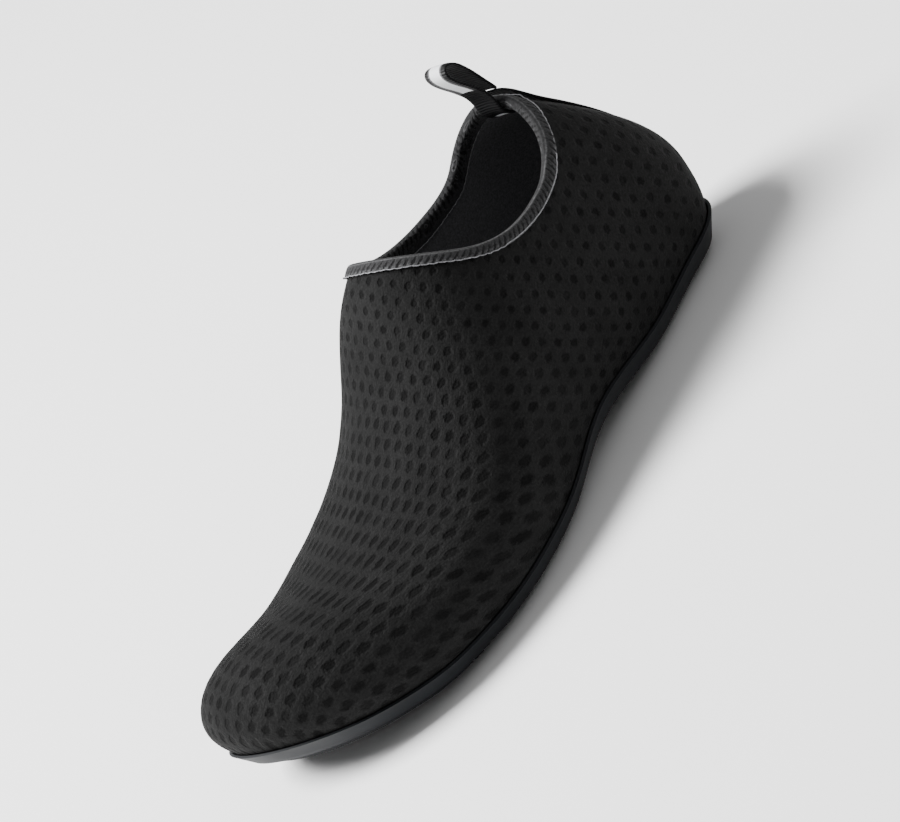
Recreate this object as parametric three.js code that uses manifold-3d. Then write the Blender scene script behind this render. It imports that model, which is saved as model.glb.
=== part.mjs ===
// Slip-on water shoe for the left foot, standing empty on its sole.
// Millimetres. +X runs from heel to toe, +Y to the outer side of the foot, +Z up, and z = 0 is the floor.
// Stations along the shoe are counted from the back of the heel, and the finished shoe is moved so that
// its origin lies at the middle of the round heel pad, on the floor.

import * as THREE from 'three';
import { mergeVertices } from 'three/addons/utils/BufferGeometryUtils.js';
import Module from 'manifold-3d';

const wasm = await Module();
wasm.setup();

const { clamp, lerp } = THREE.MathUtils;

// Driving sizes of the last and the cut of the collar
const LENGTH = 250;
const BALL_WIDTH = 93;
const INSTEP_HEIGHT = 66;
const BELLY_HEIGHT = 14;
const COLLAR_HEIGHT = 80.5;
const COLLAR_DIP = 67;
const COLLAR_TILT = 0.08;
const THROAT_HEIGHT = 78.5;
const HEEL_LEAN = 30.5;

// Driving sizes of the sole
const ARCH_RISE = 5;
const TOE_SPRING = 13;
const LUG_HEIGHT = 2;
const PLATE = 2.4;
const RIM_EDGE = 1;
const TREAD_MARGIN = 2.5;
const ROW_PITCH = 11.5;
const LUG_PITCH = 7.2;
const GROOVE = 1.3;

// Driving sizes of the cloth pieces
const WALL = 2;
const MARGIN = 9;
const INSOLE = 3;
const INSOLE_EASE = 1.2;
const BINDING_WIDTH = 5.4;
const BINDING = 0.8;
const TAPE_WIDTH = 10;
const TAPE = 1.1;
const LOOP_LENGTH = 24;
const LOOP_BULGE = 8;
const LOOP_TILT = 64;
const LOOP_TAIL = 6;

// Clearance between pieces that touch
const GAP = 0.3;

// Round of the outline at each end, and how full the curve is
const HEEL_ROUND = { reach: 33, power: 2.6 };
const TOE_ROUND = { reach: 43, power: 2.25 };
const TOE_TOP_ROUND = { reach: 40, power: 2.2 };
const CORNER = 8;
const LEAN_ROUND = 0.5;
const LEAN_REACH = 80;

// Outline from above: half width and swing of the middle line, as shares of half the ball width
const PLAN = [
  { at: 0, half: 0.59, swing: 0 },
  { at: 0.12, half: 0.59, swing: 0 },
  { at: 0.25, half: 0.675, swing: -0.01 },
  { at: 0.42, half: 0.78, swing: -0.03 },
  { at: 0.58, half: 0.91, swing: 0 },
  { at: 0.7, half: 1, swing: -0.04 },
  { at: 0.82, half: 0.95, swing: -0.12 },
  { at: 0.92, half: 0.86, swing: -0.24 },
  { at: 1, half: 0.8, swing: -0.32 },
];

// Widest line from the side: its height over the sole, as a share of the belly height, and how far the
// round under it goes in, as a share of the corner
const BELT = [
  { at: 0, height: 1.75, round: 1.45 },
  { at: 0.12, height: 1.4, round: 1.3 },
  { at: 0.42, height: 1.06, round: 1 },
  { at: 0.7, height: 0.95, round: 1 },
  { at: 0.82, height: 0.9, round: 1 },
  { at: 1, height: 0.93, round: 1 },
];

// Height of the closed form over the widest line, as a share of the instep height
const DOME = [
  { at: 0, height: 0.98 },
  { at: 0.3, height: 1.06 },
  { at: 0.46, height: 0.95 },
  { at: 0.58, height: 0.59 },
  { at: 0.7, height: 0.38 },
  { at: 0.82, height: 0.33 },
  { at: 0.92, height: 0.35 },
  { at: 1, height: 0.32 },
];

// Underside from the side: shares of the arch's rise and of the toe spring
const UNDER = [
  { at: 0, arch: 0, spring: 0 },
  { at: 0.23, arch: 0, spring: 0 },
  { at: 0.42, arch: 1, spring: 0 },
  { at: 0.57, arch: 0, spring: 0 },
  { at: 0.73, arch: 0, spring: 0 },
  { at: 0.82, arch: 0, spring: 0.11 },
  { at: 0.92, arch: 0, spring: 0.46 },
  { at: 1, arch: 0, spring: 1 },
];

// Round pads of the tread: place as shares of the length and of half the ball width
const PADS = [
  { at: 0.18, aside: 0, long: 13, wide: 11 },
  { at: 0.302, aside: -0.32, long: 7, wide: 6.5 },
  { at: 0.322, aside: 0.28, long: 6, wide: 5.6 },
  { at: 0.376, aside: -0.17, long: 5.6, wide: 5.2 },
  { at: 0.42, aside: 0.15, long: 6, wide: 5.6 },
  { at: 0.528, aside: 0, long: 7.6, wide: 7 },
  { at: 0.641, aside: -0.1, long: 8.7, wide: 8 },
  { at: 0.75, aside: -0.38, long: 14, wide: 12 },
  { at: 0.73, aside: 0.42, long: 8.5, wide: 8 },
];
const HEEL_PAD = PADS[0];
const PAD_MOAT = 1.4;

// Where the collar is lowest and where it meets the instep, as shares of the length
const DIP_AT = 0.242;
const THROAT_AT = 0.405;
const COLLAR_BACK = 8;

// Facets: columns round the shoe, and rows up its wall
const COLUMNS = 56;
const ROWS = 14;
const TOE_FAN = 0.15;
const SIDE_END = 0.38;
const HEEL_HUB = 34;
const TOE_HUB = 46;
const THROAT_HUB = 26;

// Smooth curve through one column of a table, flat between equal rows and never past them
function curveThrough(table, column) {
  const at = table.map((row) => row.at);
  const value = table.map((row) => row[column]);
  const rise = at.slice(1).map((x, i) => (value[i + 1] - value[i]) / (x - at[i]));
  const slope = value.map((_, i) => {
    if (i === 0) return rise[0];
    if (i === rise.length) return rise[i - 1];
    const turning = rise[i - 1] * rise[i] <= 0;
    return turning ? 0 : (2 * rise[i - 1] * rise[i]) / (rise[i - 1] + rise[i]);
  });
  return (x) => {
    const share = clamp(x / LENGTH, 0, 1);
    let i = 0;
    while (i < rise.length - 1 && share > at[i + 1]) i += 1;
    const span = at[i + 1] - at[i];
    const u = (share - at[i]) / span;
    const ease = u * u * (3 - 2 * u);
    const pull = slope[i] * u * (1 - u) ** 2 - slope[i + 1] * u * u * (1 - u);
    return lerp(value[i], value[i + 1], ease) + span * pull;
  };
}

const halfShare = curveThrough(PLAN, 'half');
const swingShare = curveThrough(PLAN, 'swing');
const beltShare = curveThrough(BELT, 'height');
const roundShare = curveThrough(BELT, 'round');
const domeShare = curveThrough(DOME, 'height');
const archShare = curveThrough(UNDER, 'arch');
const springShare = curveThrough(UNDER, 'spring');

// Falls from 1 to 0 over the last stretch before an end, as a full round does
function endRound(distance, round) {
  const near = clamp(1 - distance / round.reach, 0, 1);
  return (1 - near ** round.power) ** (1 / round.power);
}

const endsRound = (x) => endRound(x, HEEL_ROUND) * endRound(LENGTH - x, TOE_ROUND);
const halfWidth = (x) => (BALL_WIDTH / 2) * halfShare(x) * endsRound(x);
const middle = (x) => (BALL_WIDTH / 2) * swingShare(x);
const tread = (x) => ARCH_RISE * archShare(x) + TOE_SPRING * springShare(x);
const plateTop = (x) => tread(x) + LUG_HEIGHT + PLATE;
const underside = (x) => plateTop(x) + GAP;
const belly = (x) => BELLY_HEIGHT * beltShare(x);
const beltLine = (x) => underside(x) + belly(x);
const dome = (x) => INSTEP_HEIGHT * domeShare(x) * endRound(LENGTH - x, TOE_TOP_ROUND);

// Height of the collar's cut: a parabola down to the dip, a cubic up to the throat and a straight run
// past it. The cut lies lower on the outer side.
function collarCut(x, y) {
  const dip = DIP_AT * LENGTH;
  const low = COLLAR_DIP - COLLAR_TILT * y;
  if (x < dip) return low + (COLLAR_HEIGHT - COLLAR_DIP) * ((dip - x) / (dip - COLLAR_BACK)) ** 2;
  const share = (x - dip) / (THROAT_AT * LENGTH - dip);
  const climb = share < 1 ? share ** 3 : 3 * share - 2;
  return low + (THROAT_HEIGHT - COLLAR_DIP) * climb;
}

// Positive outside the closed form of the last, negative inside
function outside(x, y, z) {
  if (x <= 0 || x >= LENGTH) return 1;
  const across = (y - middle(x)) / Math.max(halfWidth(x), 0.001);
  const up = Math.max(z - beltLine(x), 0) / Math.max(dome(x), 0.001);
  return across ** 2 + up ** 2 - 1;
}

// Spokes fan round the toe, run square to the shoe along each side and fan round the heel
function spoke(turn, frontHub) {
  const side = turn <= 0.5 ? 1 : -1;
  const half = turn <= 0.5 ? turn : 1 - turn;
  const quarter = Math.PI / 2;
  if (half < TOE_FAN) return { hub: frontHub, heading: side * quarter * (half / TOE_FAN) };
  if (half < SIDE_END) {
    const along = (half - TOE_FAN) / (SIDE_END - TOE_FAN);
    return { hub: lerp(frontHub, HEEL_HUB, along), heading: side * quarter };
  }
  return { hub: HEEL_HUB, heading: side * quarter * (1 + (half - SIDE_END) / (0.5 - SIDE_END)) };
}

// Point where a spoke leaves the form on the surface that heightAt gives
function rayPoint(turn, level, heightAt) {
  const throat = THROAT_AT * LENGTH;
  const frontHub = lerp(LENGTH - TOE_HUB, throat - THROAT_HUB, level ** 0.8);
  const { hub, heading } = spoke(turn, frontHub);
  const start = middle(hub) * (1 - level);
  let inner = 2;
  let outer = BALL_WIDTH + TOE_HUB;
  for (let i = 0; i < 34; i += 1) {
    const reach = (inner + outer) / 2;
    const x = hub + reach * Math.cos(heading);
    const y = start + reach * Math.sin(heading);
    if (outside(x, y, heightAt(x, y)) > 0) outer = reach;
    else inner = reach;
  }
  const x = hub + inner * Math.cos(heading);
  const y = start + inner * Math.sin(heading);
  return new THREE.Vector3(x, y, heightAt(x, y));
}

// The back of the shoe leans forward over the heel, more with height
function leaned(point) {
  const up = clamp((point.z - beltLine(point.x)) / (COLLAR_HEIGHT - beltLine(0)), 0, 1.2);
  const soft = (u) => Math.hypot(u, LEAN_ROUND) - LEAN_ROUND;
  const near = clamp(1 - point.x / LEAN_REACH, 0, 1);
  const shift = HEEL_LEAN * (soft(up) / soft(1)) * near * near * (3 - 2 * near);
  return point.clone().setX(point.x + shift);
}

const edgePoint = (turn) => leaned(rayPoint(turn, 1, collarCut));

// Drop of the binding's seam under the collar's edge, so that its width is true along the wall
function seamDrop(turn) {
  const edge = edgePoint(turn);
  let less = 0;
  let more = BINDING_WIDTH * 1.5;
  for (let i = 0; i < 24; i += 1) {
    const drop = (less + more) / 2;
    const point = leaned(rayPoint(turn, 1, (x, y) => collarCut(x, y) - drop));
    if (point.distanceTo(edge) > BINDING_WIDTH) more = drop;
    else less = drop;
  }
  return less;
}

// Point on the wall's outside, from the widest line (level 0) to the binding's seam (level 1)
function wallPoint(turn, level, drop) {
  const height = (x, y) => lerp(beltLine(x), collarCut(x, y) - drop, level);
  return leaned(rayPoint(turn, level, height));
}

// Point on the round under the widest line. A curl of 0 is the widest line and 1 is flat underneath.
// It is moved out from the round by `out`, and then in towards the middle by `tuck`.
function footPoint(turn, curl, out = 0, tuck = 0) {
  const { heading } = spoke(turn, LENGTH - TOE_HUB);
  const belt = rayPoint(turn, 0, beltLine);
  const angle = (curl * Math.PI) / 2;
  const corner = CORNER * roundShare(belt.x);
  const slant = new THREE.Vector2(Math.cos(angle) / corner, -Math.sin(angle) / belly(belt.x)).normalize();
  const inset = corner * (1 - Math.cos(angle)) + tuck - out * slant.x;
  const x = belt.x - inset * Math.cos(heading);
  const y = belt.y - inset * Math.sin(heading);
  return new THREE.Vector3(x, y, underside(x) + belly(x) * (1 - Math.sin(angle)) + out * slant.y);
}

const turns = Array.from({ length: COLUMNS }, (_, i) => i / COLUMNS);
const footRing = (curl, out, tuck) => turns.map((turn) => footPoint(turn, curl, out, tuck));

// Closed mesh through rings of equal count. An open row of rings is capped by rungs from side to side,
// and faces are turned out by the sign of the volume.
function loft(rings, closed = false) {
  const count = rings[0].length;
  const faces = [];
  const last = closed ? rings.length : rings.length - 1;
  for (let r = 0; r < last; r += 1) {
    const low = r * count;
    const high = ((r + 1) % rings.length) * count;
    for (let c = 0; c < count; c += 1) {
      const next = (c + 1) % count;
      faces.push([low + c, low + next, high + next], [low + c, high + next, high + c]);
    }
  }
  if (!closed) {
    const top = (rings.length - 1) * count;
    for (let c = 0; c < count / 2; c += 1) {
      const left = (count - c) % count;
      const corners = [c, c + 1, left - 1, left].map((k) => (k + count) % count);
      const [a, b, d, e] = corners;
      if (a !== e) faces.push([e, d, a], [top + a, top + d, top + e]);
      if (b !== d) faces.push([d, b, a], [top + a, top + b, top + d]);
    }
  }
  const points = rings.flat();
  const volume = faces.reduce((sum, [a, b, c]) => {
    return sum + points[a].dot(new THREE.Vector3().crossVectors(points[b], points[c]));
  }, 0);
  const index = faces.flatMap((face) => (volume < 0 ? [...face].reverse() : face));
  const geometry = new THREE.BufferGeometry().setFromPoints(points);
  geometry.setIndex(index);
  return geometry;
}

// Upright prism on a plan outline, from under the floor to over the sole
function upright(outline) {
  const depth = TOE_SPRING + ARCH_RISE + 4 * (LUG_HEIGHT + PLATE);
  const shape = new THREE.Shape(outline);
  const geometry = new THREE.ExtrudeGeometry(shape, { depth, bevelEnabled: false });
  geometry.translate(0, 0, -LUG_HEIGHT);
  return geometry;
}

function solidOf(geometry) {
  const bare = geometry.clone();
  bare.deleteAttribute('normal');
  bare.deleteAttribute('uv');
  const merged = mergeVertices(bare, 1e-4);
  const mesh = new wasm.Mesh({
    numProp: 3,
    vertProperties: merged.attributes.position.array,
    triVerts: new Uint32Array(merged.index.array),
  });
  return new wasm.Manifold(mesh);
}

function geometryOf(solid) {
  const mesh = solid.getMesh();
  const geometry = new THREE.BufferGeometry();
  geometry.setAttribute('position', new THREE.BufferAttribute(new Float32Array(mesh.vertProperties), 3));
  geometry.setIndex([...mesh.triVerts]);
  return geometry;
}

const joined = (solids) => solids.reduce((all, one) => all.add(one));

// Levels of the wall's rows, spaced so that the way up the instep and the way up the heel grow evenly
function evenLevels() {
  const steps = 160;
  const ends = [0, 0.5].map((turn) => ({ turn, drop: seamDrop(turn) }));
  const climb = [0];
  for (let i = 1; i <= steps; i += 1) {
    const pieces = ends.map(({ turn, drop }) => {
      const [low, high] = [(i - 1) / steps, i / steps].map((level) => wallPoint(turn, level, drop));
      return low.distanceTo(high);
    });
    climb.push(climb[i - 1] + pieces[0] + pieces[1]);
  }
  return Array.from({ length: ROWS }, (_, row) => {
    const target = (climb[steps] * (row + 1)) / ROWS;
    const above = Math.max(climb.findIndex((length) => length >= target - 1e-9), 1);
    const share = (target - climb[above - 1]) / (climb[above] - climb[above - 1]);
    return (above - 1 + share) / steps;
  });
}

// Upper: rows of the outside from the turned-in margin to the collar's edge, then the same rows inside
const CURLS = [1, 0.8, 0.55, 0.3, 0];
const drops = turns.map(seamDrop);
const levels = evenLevels();
const outerRows = [
  footRing(1, 0, MARGIN),
  ...CURLS.map((curl) => footRing(curl, 0, 0)),
  ...levels.map((level) => turns.map((turn, i) => wallPoint(turn, level, drops[i]))),
  turns.map(edgePoint),
];
const SEAM_ROW = outerRows.length - 2;
const EDGE_ROW = outerRows.length - 1;

// Outward direction at a point of the outer rows, from its neighbours
function outward(row, column) {
  const rows = outerRows;
  const up = rows[Math.min(row + 1, EDGE_ROW)][column].clone().sub(rows[Math.max(row - 1, 0)][column]);
  const before = rows[row][(column + COLUMNS - 1) % COLUMNS];
  const after = rows[row][(column + 1) % COLUMNS];
  return after.clone().sub(before).cross(up).normalize();
}

const offset = (row, column, distance) => {
  return outerRows[row][column].clone().addScaledVector(outward(row, column), distance);
};
const rowAt = (row, distance) => turns.map((_, column) => offset(row, column, distance));

function upperGeometry() {
  const innerRows = outerRows.map((_, row) => rowAt(row, -WALL));
  return loft([...outerRows, ...innerRows.reverse()], true);
}

// Insole: a sheet on the turned-in margin, its edge following the wall's round
function insoleGeometry() {
  const edge = WALL + INSOLE_EASE;
  const raise = (ring, height) => {
    return ring.map((point) => new THREE.Vector3(point.x, point.y, underside(point.x) + height));
  };
  const low = WALL + GAP;
  return loft([
    raise(footRing(1, 0, 0.5), low),
    raise(footRing(0.78, -edge, 0), low + INSOLE / 3),
    raise(footRing(0.6, -edge, 0), low + INSOLE),
  ]);
}

// Outline of the tread from above, inside the plate's edge
const fieldOutline = footRing(1, 0, TREAD_MARGIN).map((point) => new THREE.Vector2(point.x, point.y));

// Layer under the plate that the tread is cut from, bent with the arch and the toe
const LAYER_STATIONS = [0, 0.23, 0.3, 0.36, 0.42, 0.47, 0.52, 0.57, 0.73, 0.79, 0.85, 0.9, 0.95, 1];

function treadLayer() {
  const half = BALL_WIDTH;
  return loft(LAYER_STATIONS.map((at) => {
    const x = at * LENGTH;
    const low = tread(x);
    const high = low + LUG_HEIGHT + PLATE / 2;
    const corners = [[-half, low], [half, low], [half, high], [-half, high]];
    return corners.map(([y, z]) => new THREE.Vector3(x, y, z));
  }));
}

// Plan of one lug: a straight side and a slanted side, which trade places from lug to lug
const LUG_SLANT = 1.7;
const ROW_WAVE = 0.9;

function lugOutline(back, left, slantsRight) {
  const front = back + ROW_PITCH - GROOVE;
  const right = left + LUG_PITCH - GROOVE;
  const slant = slantsRight ? LUG_SLANT : -LUG_SLANT;
  const leftSlant = slantsRight ? 0 : slant;
  const rightSlant = slantsRight ? slant : 0;
  const wave = slantsRight ? ROW_WAVE : -ROW_WAVE;
  return [
    new THREE.Vector2(back, left + leftSlant),
    new THREE.Vector2(front, left - leftSlant),
    new THREE.Vector2(front + wave, right - rightSlant),
    new THREE.Vector2(back + wave, right + rightSlant),
  ];
}

// Plain zones at the toe and the heel, each bounded by an arc across the sole
const TOE_LINE = { outer: 0.775, inner: 0.845, bow: 4 };
const HEEL_LINE = { outer: 0.05, inner: 0.05, bow: -7 };

function beyond(line, toToe, shift) {
  const half = BALL_WIDTH / 2;
  const steps = 8;
  const arc = Array.from({ length: steps + 1 }, (_, i) => {
    const side = lerp(-1, 1, i / steps);
    const x = LENGTH * lerp(line.inner, line.outer, i / steps) + line.bow * (1 - side * side) + shift;
    return new THREE.Vector2(x, side * half);
  });
  const end = toToe ? LENGTH : -LENGTH;
  return [...arc, new THREE.Vector2(end, half), new THREE.Vector2(end, -half)];
}

// Pebbled strip along the arch, on the inner side
const ARCH_STRIP = [
  { at: 0.29, aside: -0.5 },
  { at: 0.36, aside: -0.44 },
  { at: 0.5, aside: -0.5 },
  { at: 0.62, aside: -0.72 },
  { at: 0.7, aside: -0.9 },
];

function archOutline(shift) {
  const half = BALL_WIDTH / 2;
  const line = ARCH_STRIP.map(({ at, aside }) => new THREE.Vector2(at * LENGTH, aside * half + shift));
  const [first, last] = [line[0], line[line.length - 1]];
  return [...line, new THREE.Vector2(last.x, -BALL_WIDTH), new THREE.Vector2(first.x, -BALL_WIDTH)];
}

function padOutline(pad, grown = 0) {
  const sides = 16;
  return Array.from({ length: sides }, (_, i) => {
    const angle = (i / sides) * Math.PI * 2;
    const x = pad.at * LENGTH + (pad.long + grown) * Math.cos(angle);
    const y = (pad.aside * BALL_WIDTH) / 2 + (pad.wide + grown) * Math.sin(angle);
    return new THREE.Vector2(x, y);
  });
}

function treadSolid() {
  const lugs = [];
  const rows = Math.ceil(LENGTH / ROW_PITCH);
  const columns = Math.ceil(BALL_WIDTH / LUG_PITCH);
  for (let row = 0; row < rows; row += 1) {
    for (let column = 0; column < columns; column += 1) {
      const left = (column - columns / 2) * LUG_PITCH;
      lugs.push(solidOf(upright(lugOutline(row * ROW_PITCH, left, (row + column) % 2 === 0))));
    }
  }
  const zones = [
    { plain: beyond(TOE_LINE, true, 0), cleared: beyond(TOE_LINE, true, -GROOVE) },
    { plain: beyond(HEEL_LINE, false, 0), cleared: beyond(HEEL_LINE, false, GROOVE) },
    { plain: archOutline(0), cleared: archOutline(GROOVE) },
    ...PADS.map((pad) => ({ plain: padOutline(pad), cleared: padOutline(pad, PAD_MOAT) })),
  ];
  const pattern = zones.reduce((all, zone) => {
    return all.subtract(solidOf(upright(zone.cleared))).add(solidOf(upright(zone.plain)));
  }, joined(lugs));
  return pattern.intersect(solidOf(upright(fieldOutline))).intersect(solidOf(treadLayer()));
}

// Outsole: a plate with a low rim that cups the upper's edge, and the tread under it
function outsoleGeometry() {
  const plate = loft([
    footRing(1, GAP + PLATE, 0.6),
    footRing(0.86, GAP + PLATE, 0),
    footRing(0.52, GAP + RIM_EDGE, 0),
    footRing(0.52, GAP, 0),
    footRing(0.76, GAP, 0),
    footRing(1, GAP, 0),
  ]);
  return geometryOf(solidOf(plate).add(treadSolid()));
}

// Binding: a tape folded over the collar's edge, as wide inside as outside
function bindingGeometry() {
  const thick = GAP + BINDING;
  const rise = turns.map((_, column) => {
    return outerRows[EDGE_ROW][column].clone().sub(outerRows[SEAM_ROW][column]).normalize();
  });
  const edge = (distance, lift) => turns.map((_, column) => {
    return offset(EDGE_ROW, column, distance).addScaledVector(rise[column], lift);
  });
  const crown = [0, 1 / 3, 2 / 3, 1].map((share) => {
    const reach = WALL / 2 + thick;
    const angle = share * Math.PI;
    return edge(reach * Math.cos(angle) - WALL / 2, thick * Math.sin(angle));
  });
  return loft([
    rowAt(SEAM_ROW, GAP),
    edge(GAP, GAP),
    edge(-WALL - GAP, GAP),
    rowAt(SEAM_ROW, -WALL - GAP),
    rowAt(SEAM_ROW, -WALL - thick),
    ...crown.reverse(),
    rowAt(SEAM_ROW, thick),
  ], true);
}

// Point at the back of a ring, `aside` of its middle
function backPoint(pointAt, aside) {
  let less = 0;
  let more = 0.5 - SIDE_END;
  for (let i = 0; i < 24; i += 1) {
    const share = (less + more) / 2;
    if (Math.abs(pointAt(0.5 - Math.sign(aside) * share).y) > Math.abs(aside)) more = share;
    else less = share;
  }
  return pointAt(0.5 - Math.sign(aside) * less);
}

// Heel tape: lies on the back of the wall from over the sole's rim to the collar, and steps over the binding
const TAPE_COLUMNS = [-1, -0.5, 0, 0.5, 1];
const TAPE_CURLS = [0.38, 0.2, 0];
const backDrop = seamDrop(0.5);

function tapeRows() {
  const makers = [
    ...TAPE_CURLS.map((curl) => (turn) => footPoint(turn, curl)),
    ...levels.map((level) => (turn) => wallPoint(turn, level, backDrop)),
    edgePoint,
  ];
  return makers.map((pointAt) => TAPE_COLUMNS.map((share) => backPoint(pointAt, (share * TAPE_WIDTH) / 2)));
}

function heelTapeGeometry() {
  const rows = tapeRows();
  const last = TAPE_COLUMNS.length - 1;
  const facing = (row, column) => {
    const up = rows[Math.min(row + 1, rows.length - 1)][column].clone();
    up.sub(rows[Math.max(row - 1, 0)][column]);
    const aside = rows[row][Math.min(column + 1, last)].clone();
    aside.sub(rows[row][Math.max(column - 1, 0)]);
    return up.cross(aside).normalize();
  };
  return loft(rows.map((points, row) => {
    const overBinding = row >= rows.length - 2;
    const seat = overBinding ? GAP + BINDING + GAP : GAP;
    const layer = (distance) => points.map((point, column) => {
      return point.clone().addScaledVector(facing(row, column), distance);
    });
    const under = layer(seat);
    const face = layer(seat + TAPE);
    return [...under, ...face.reverse()];
  }));
}

// Pull loop: the same webbing goes on from the tape's top end, bends over forwards and is sewn inside
// the collar. Its side view, as shares of the loop's length and of half its bulge.
const LOOP_VIEW = [
  { along: 0.3, across: 0.8 },
  { along: 0.6, across: 1 },
  { along: 0.86, across: 0.8 },
  { along: 1, across: 0 },
  { along: 0.86, across: -0.8 },
  { along: 0.6, across: -1 },
  { along: 0.3, across: -0.8 },
];
const LOOP_STEPS = 22;
const LOOP_EASE = 0.7;
const CAMBER_RATE = 1.8;

function pullLoopGeometry() {
  const back = COLUMNS / 2;
  const edge = offset(EDGE_ROW, back, -WALL / 2).setY(0);
  const wall = edge.clone().sub(offset(SEAM_ROW, back, -WALL / 2).setY(0)).normalize();
  const rear = new THREE.Vector3(-wall.z, 0, wall.x);
  const tilt = THREE.MathUtils.degToRad(LOOP_TILT);
  const along = new THREE.Vector3(Math.cos(tilt), 0, Math.sin(tilt));
  const across = new THREE.Vector3(-along.z, 0, along.x);
  const seat = WALL / 2 + GAP + BINDING + GAP + TAPE / 2;
  const beside = (up, out) => edge.clone().addScaledVector(wall, up).addScaledVector(rear, out);
  const middleLine = new THREE.CatmullRomCurve3([
    beside(3 * GAP, seat),
    ...LOOP_VIEW.map((place) => {
      const reach = edge.clone().addScaledVector(along, place.along * LOOP_LENGTH);
      return reach.addScaledVector(across, (place.across * LOOP_BULGE) / 2);
    }),
    beside(0, -seat - LOOP_EASE),
    beside(-LOOP_TAIL, -seat - LOOP_EASE),
  ]);
  const half = TAPE_WIDTH / 2;
  const side = new THREE.Vector3(0, 1, 0);
  const wallHollow = edgePoint(0.5).sub(backPoint(edgePoint, half)).dot(rear);
  return loft(Array.from({ length: LOOP_STEPS + 1 }, (_, i) => {
    const at = i / LOOP_STEPS;
    const facing = new THREE.Vector3().crossVectors(side, middleLine.getTangentAt(at));
    const hollow = wallHollow * clamp(CAMBER_RATE * (1 - 2 * at), -1, 1);
    const layer = (out) => TAPE_COLUMNS.map((share) => {
      const point = middleLine.getPointAt(at).addScaledVector(side, share * half);
      return point.addScaledVector(facing, out + hollow * share * share);
    });
    return [...layer(-TAPE / 2), ...layer(TAPE / 2).reverse()];
  }));
}

const MATERIALS = {
  knit: new THREE.MeshStandardMaterial({ color: 0x2a2a2a, roughness: 0.9 }),
  rubber: new THREE.MeshStandardMaterial({ color: 0x23262b, roughness: 0.6 }),
  foam: new THREE.MeshStandardMaterial({ color: 0x1a1a1a, roughness: 0.95 }),
  binding: new THREE.MeshStandardMaterial({ color: 0x3c3c3c, roughness: 0.85 }),
  webbing: new THREE.MeshStandardMaterial({ color: 0x141414, roughness: 0.8 }),
};

function piece(name, geometry, material) {
  geometry.computeVertexNormals();
  const mesh = new THREE.Mesh(geometry, material);
  mesh.name = name;
  return mesh;
}

const shoe = new THREE.Group();
shoe.position.x = -HEEL_PAD.at * LENGTH;
shoe.add(
  piece('outsole', outsoleGeometry(), MATERIALS.rubber),
  piece('upper', upperGeometry(), MATERIALS.knit),
  piece('insole', insoleGeometry(), MATERIALS.foam),
  piece('collar_binding', bindingGeometry(), MATERIALS.binding),
  piece('heel_tape', heelTapeGeometry(), MATERIALS.webbing),
  piece('pull_loop', pullLoopGeometry(), MATERIALS.webbing),
);

export default shoe;
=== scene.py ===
import math

import bmesh
import bpy
import numpy as np
from mathutils import Matrix, Vector
from mathutils.bvhtree import BVHTree


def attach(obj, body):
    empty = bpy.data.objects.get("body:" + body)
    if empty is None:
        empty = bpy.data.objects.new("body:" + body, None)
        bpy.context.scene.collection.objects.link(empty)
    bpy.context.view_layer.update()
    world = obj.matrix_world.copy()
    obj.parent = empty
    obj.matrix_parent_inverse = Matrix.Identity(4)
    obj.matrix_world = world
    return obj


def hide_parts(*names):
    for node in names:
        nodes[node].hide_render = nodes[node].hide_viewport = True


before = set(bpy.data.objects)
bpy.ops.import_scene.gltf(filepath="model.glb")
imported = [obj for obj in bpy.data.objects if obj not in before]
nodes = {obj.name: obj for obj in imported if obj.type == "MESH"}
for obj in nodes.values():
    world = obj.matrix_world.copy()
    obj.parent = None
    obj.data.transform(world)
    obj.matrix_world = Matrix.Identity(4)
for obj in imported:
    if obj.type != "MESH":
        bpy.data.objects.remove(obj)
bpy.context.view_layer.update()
scene = bpy.context.scene
MM = 0.001


# Upper. The real one is a thin elastic knit, pulled over a last and glued to the sole round its edge.
# It is a near-black jacquard: small darker oval dots lie in rows that lean forward at the top, sunk a
# little into the cloth. The rows spread towards the toe, where the knit is stretched along the foot.
# A line through the hollow of the shoe, in mm: a face that looks at it is lining.
SPINE = (Vector((-11, 0, 30)), Vector((159, -5.6, 24)))
# Rows wrap round the heel on this radius. They lean by these slopes in height and in width.
HEEL_REACH = 31
ROW_LEAN, ROW_SWEEP = 1.0, 0.4
LEAN_LEVEL = 45
# For each row position in mm: the pitch between rows, and the pitch of the dots along a row.
DOT_SPACING = [(-60, 7.3, 6.2), (-12, 7.4, 6.3), (30, 7.0, 5.8), (54, 6.3, 5.5), (75, 7.0, 5.8),
               (106, 7.7, 5.9), (131, 8.0, 5.4), (164, 8.4, 3.7), (192, 7.8, 3.2), (250, 7.4, 3.2)]
# Dots lie staggered up to the first row position and one behind the other from the second on.
STAGGERED_TO, IN_LINE_FROM, HEEL_END = 106, 134, 20
# Half a dot's length across the rows, in row pitches: at the heel and at the ball; and how slim it is.
DOT_REACH = (0.3, 0.39)
DOT_SLIM = 0.84
KNIT = "#171717"
KNIT_DOT = "#030303"
LINING = "#5c5c5e"


def linear(hex_colour):
    parts = [int(hex_colour[i:i + 2], 16) / 255 for i in (1, 3, 5)]
    return [c / 12.92 if c <= 0.04045 else ((c + 0.055) / 1.055) ** 2.4 for c in parts] + [1]


def add_node(tree, kind, links=None, **settings):
    made = tree.nodes.new(kind)
    for key, value in settings.items():
        setattr(made, key, value)
    for key, value in (links or {}).items():
        if isinstance(value, bpy.types.NodeSocket):
            tree.links.new(value, made.inputs[key])
        else:
            made.inputs[key].default_value = value
    return made


def new_material(name):
    material = bpy.data.materials.new(name)
    material.use_nodes = True
    tree = material.node_tree
    tree.nodes.clear()
    shader = add_node(tree, "ShaderNodeBsdfPrincipled")
    add_node(tree, "ShaderNodeOutputMaterial", {"Surface": shader.outputs[0]})
    return material, tree, shader


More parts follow.
